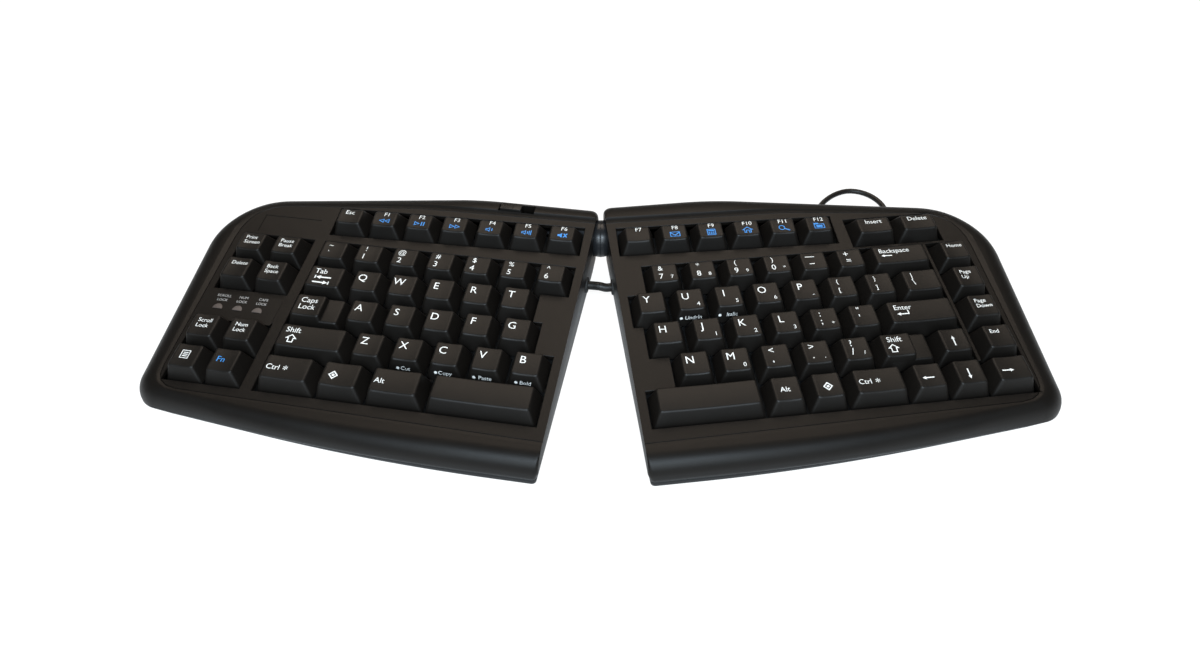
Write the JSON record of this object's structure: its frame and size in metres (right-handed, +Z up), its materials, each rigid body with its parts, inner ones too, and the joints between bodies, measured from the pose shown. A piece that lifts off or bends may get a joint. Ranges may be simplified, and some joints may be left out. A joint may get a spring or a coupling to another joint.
{
  "type": "ergonomic split keyboard",
  "caption": "Black split computer keyboard: two sloped halves on a clamped ball joint that splay and tent, sprung dished keys, a lock lever, a link cable and a coiled supply cord",
  "frame": {"origin": "middle of the footprint on the desk, without the supply cord", "axes": "+X to the right of the typist, +Y to the back, +Z up from the desk"},
  "size_m": [0.4344, 0.2271, 0.0404],
  "materials": {
    "key_plastic": "fine textured black",
    "case_plastic": "fine textured black",
    "rubber": "satin black",
    "steel": "plain",
    "sheet_plastic": "translucent sheet",
    "joint_plastic": "gloss dark grey",
    "lever_plastic": "dark grey",
    "light_window": "smoked window",
    "board": "green laminate",
    "plug_plastic": "black"
  },
  "bodies": {
    "left_half": {"left_base": "case_plastic", "left_top_cover": "case_plastic", "left_feet": "rubber", "left_screws": "steel", "left_support_plate": "steel", "left_membrane": "sheet_plastic", "left_dome_sheet": "sheet_plastic", "left_ball_seat": "joint_plastic", "clamp_rod": "steel", "lever_bracket": "steel", "lever_pin": "steel", "status_lights": "light_window", "left_grommet": "rubber", "link_cable": "rubber"},
    "pivot_ball": {"pivot_ball": "joint_plastic"},
    "right_half": {"right_base": "case_plastic", "right_top_cover": "case_plastic", "right_feet": "rubber", "right_screws": "steel", "right_support_plate": "steel", "right_membrane": "sheet_plastic", "right_dome_sheet": "sheet_plastic", "right_ball_seat": "joint_plastic", "controller_board": "board", "right_grommet": "rubber", "cord_gland": "rubber", "usb_cable": "rubber", "usb_cable_hank": "rubber", "cable_tie": "rubber", "usb_plug_body": "plug_plastic", "usb_plug_shell": "steel"},
    "lock_lever": {"lock_lever": "lever_plastic"},
    "esc_key": {"esc_key": "key_plastic"},
    "left_function_keys": {"left_function_keys": "key_plastic"},
    "left_number_keys": {"left_number_keys": "key_plastic"},
    "left_upper_keys": {"left_upper_keys": "key_plastic"},
    "tab_key": {"tab_key": "key_plastic"},
    "left_home_keys": {"left_home_keys": "key_plastic"},
    "caps_lock_key": {"caps_lock_key": "key_plastic"},
    "left_lower_keys": {"left_lower_keys": "key_plastic"},
    "left_shift_key": {"left_shift_key": "key_plastic"},
    "left_space_bar": {"left_space_bar": "key_plastic"},
    "left_modifier_keys": {"left_modifier_keys": "key_plastic"},
    "left_side_upper_keys": {"left_side_upper_keys": "key_plastic"},
    "left_side_lower_keys": {"left_side_lower_keys": "key_plastic"},
    "right_function_keys": {"right_function_keys": "key_plastic"},
    "right_edit_keys": {"right_edit_keys": "key_plastic"},
    "right_number_keys": {"right_number_keys": "key_plastic"},
    "backspace_key": {"backspace_key": "key_plastic"},
    "right_upper_keys": {"right_upper_keys": "key_plastic"},
    "backslash_key": {"backslash_key": "key_plastic"},
    "right_home_keys": {"right_home_keys": "key_plastic"},
    "enter_key": {"enter_key": "key_plastic"},
    "right_lower_keys": {"right_lower_keys": "key_plastic"},
    "right_shift_key": {"right_shift_key": "key_plastic"},
    "right_space_bar": {"right_space_bar": "key_plastic"},
    "right_modifier_keys": {"right_modifier_keys": "key_plastic"},
    "arrow_keys": {"arrow_keys": "key_plastic"},
    "page_keys": {"page_keys": "key_plastic"}
  },
  "joints": [
    {"name": "splay", "type": "hinge", "parent": "left_half", "child": "pivot_ball", "pos_m": [0, 0.0584, 0.023], "axis": [0, 0, 1], "range_deg": [-16.4, 13.6], "deforming": ["link_cable"]},
    {"name": "tent", "type": "hinge", "parent": "pivot_ball", "child": "right_half", "pos_m": [0, 0.0584, 0.023], "axis": [0, 1, 0], "range_deg": [0, 18]},
    {"name": "lever_lift", "type": "hinge", "parent": "left_half", "child": "lock_lever", "pos_m": [-0.04454, 0.06482, 0.0275], "axis": [0.1426, 0.9898, 0], "range_deg": [0, 45]},
    {"name": "esc_key_press", "type": "slide", "parent": "left_half", "child": "esc_key", "axis": [0.0186, 0.1292, -0.9914], "range_m": [0, 0.0035], "stiffness_N_per_m": 120, "springref_m": -0.002},
    {"name": "left_function_keys_press", "type": "slide", "parent": "left_half", "child": "left_function_keys", "axis": [0.0186, 0.1292, -0.9914], "range_m": [0, 0.0035], "stiffness_N_per_m": 120, "springref_m": -0.002},
    {"name": "left_number_keys_press", "type": "slide", "parent": "left_half", "child": "left_number_keys", "axis": [0.0186, 0.1292, -0.9914], "range_m": [0, 0.0035], "stiffness_N_per_m": 120, "springref_m": -0.002},
    {"name": "left_upper_keys_press", "type": "slide", "parent": "left_half", "child": "left_upper_keys", "axis": [0.0186, 0.1292, -0.9914], "range_m": [0, 0.0035], "stiffness_N_per_m": 120, "springref_m": -0.002},
    {"name": "tab_key_press", "type": "slide", "parent": "left_half", "child": "tab_key", "axis": [0.0186, 0.1292, -0.9914], "range_m": [0, 0.0035], "stiffness_N_per_m": 120, "springref_m": -0.002},
    {"name": "left_home_keys_press", "type": "slide", "parent": "left_half", "child": "left_home_keys", "axis": [0.0186, 0.1292, -0.9914], "range_m": [0, 0.0035], "stiffness_N_per_m": 120, "springref_m": -0.002},
    {"name": "caps_lock_key_press", "type": "slide", "parent": "left_half", "child": "caps_lock_key", "axis": [0.0186, 0.1292, -0.9914], "range_m": [0, 0.0035], "stiffness_N_per_m": 120, "springref_m": -0.002},
    {"name": "left_lower_keys_press", "type": "slide", "parent": "left_half", "child": "left_lower_keys", "axis": [0.0186, 0.1292, -0.9914], "range_m": [0, 0.0035], "stiffness_N_per_m": 120, "springref_m": -0.002},
    {"name": "left_shift_key_press", "type": "slide", "parent": "left_half", "child": "left_shift_key", "axis": [0.0186, 0.1292, -0.9914], "range_m": [0, 0.0035], "stiffness_N_per_m": 120, "springref_m": -0.002},
    {"name": "left_space_bar_press", "type": "slide", "parent": "left_half", "child": "left_space_bar", "axis": [0.0186, 0.1292, -0.9914], "range_m": [0, 0.0035], "stiffness_N_per_m": 120, "springref_m": -0.002},
    {"name": "left_modifier_keys_press", "type": "slide", "parent": "left_half", "child": "left_modifier_keys", "axis": [0.0186, 0.1292, -0.9914], "range_m": [0, 0.0035], "stiffness_N_per_m": 120, "springref_m": -0.002},
    {"name": "left_side_upper_keys_press", "type": "slide", "parent": "left_half", "child": "left_side_upper_keys", "axis": [0.0186, 0.1292, -0.9914], "range_m": [0, 0.0035], "stiffness_N_per_m": 120, "springref_m": -0.002},
    {"name": "left_side_lower_keys_press", "type": "slide", "parent": "left_half", "child": "left_side_lower_keys", "axis": [0.0186, 0.1292, -0.9914], "range_m": [0, 0.0035], "stiffness_N_per_m": 120, "springref_m": -0.002},
    {"name": "right_function_keys_press", "type": "slide", "parent": "right_half", "child": "right_function_keys", "axis": [-0.0186, 0.1292, -0.9914], "range_m": [0, 0.0035], "stiffness_N_per_m": 120, "springref_m": -0.002},
    {"name": "right_edit_keys_press", "type": "slide", "parent": "right_half", "child": "right_edit_keys", "axis": [-0.0186, 0.1292, -0.9914], "range_m": [0, 0.0035], "stiffness_N_per_m": 120, "springref_m": -0.002},
    {"name": "right_number_keys_press", "type": "slide", "parent": "right_half", "child": "right_number_keys", "axis": [-0.0186, 0.1292, -0.9914], "range_m": [0, 0.0035], "stiffness_N_per_m": 120, "springref_m": -0.002},
    {"name": "backspace_key_press", "type": "slide", "parent": "right_half", "child": "backspace_key", "axis": [-0.0186, 0.1292, -0.9914], "range_m": [0, 0.0035], "stiffness_N_per_m": 120, "springref_m": -0.002},
    {"name": "right_upper_keys_press", "type": "slide", "parent": "right_half", "child": "right_upper_keys", "axis": [-0.0186, 0.1292, -0.9914], "range_m": [0, 0.0035], "stiffness_N_per_m": 120, "springref_m": -0.002},
    {"name": "backslash_key_press", "type": "slide", "parent": "right_half", "child": "backslash_key", "axis": [-0.0186, 0.1292, -0.9914], "range_m": [0, 0.0035], "stiffness_N_per_m": 120, "springref_m": -0.002},
    {"name": "right_home_keys_press", "type": "slide", "parent": "right_half", "child": "right_home_keys", "axis": [-0.0186, 0.1292, -0.9914], "range_m": [0, 0.0035], "stiffness_N_per_m": 120, "springref_m": -0.002},
    {"name": "enter_key_press", "type": "slide", "parent": "right_half", "child": "enter_key", "axis": [-0.0186, 0.1292, -0.9914], "range_m": [0, 0.0035], "stiffness_N_per_m": 120, "springref_m": -0.002},
    {"name": "right_lower_keys_press", "type": "slide", "parent": "right_half", "child": "right_lower_keys", "axis": [-0.0186, 0.1292, -0.9914], "range_m": [0, 0.0035], "stiffness_N_per_m": 120, "springref_m": -0.002},
    {"name": "right_shift_key_press", "type": "slide", "parent": "right_half", "child": "right_shift_key", "axis": [-0.0186, 0.1292, -0.9914], "range_m": [0, 0.0035], "stiffness_N_per_m": 120, "springref_m": -0.002},
    {"name": "right_space_bar_press", "type": "slide", "parent": "right_half", "child": "right_space_bar", "axis": [-0.0186, 0.1292, -0.9914], "range_m": [0, 0.0035], "stiffness_N_per_m": 120, "springref_m": -0.002},
    {"name": "right_modifier_keys_press", "type": "slide", "parent": "right_half", "child": "right_modifier_keys", "axis": [-0.0186, 0.1292, -0.9914], "range_m": [0, 0.0035], "stiffness_N_per_m": 120, "springref_m": -0.002},
    {"name": "arrow_keys_press", "type": "slide", "parent": "right_half", "child": "arrow_keys", "axis": [-0.0186, 0.1292, -0.9914], "range_m": [0, 0.0035], "stiffness_N_per_m": 120, "springref_m": -0.002},
    {"name": "page_keys_press", "type": "slide", "parent": "right_half", "child": "page_keys", "axis": [-0.0186, 0.1292, -0.9914], "range_m": [0, 0.0035], "stiffness_N_per_m": 120, "springref_m": -0.002}
  ]
}
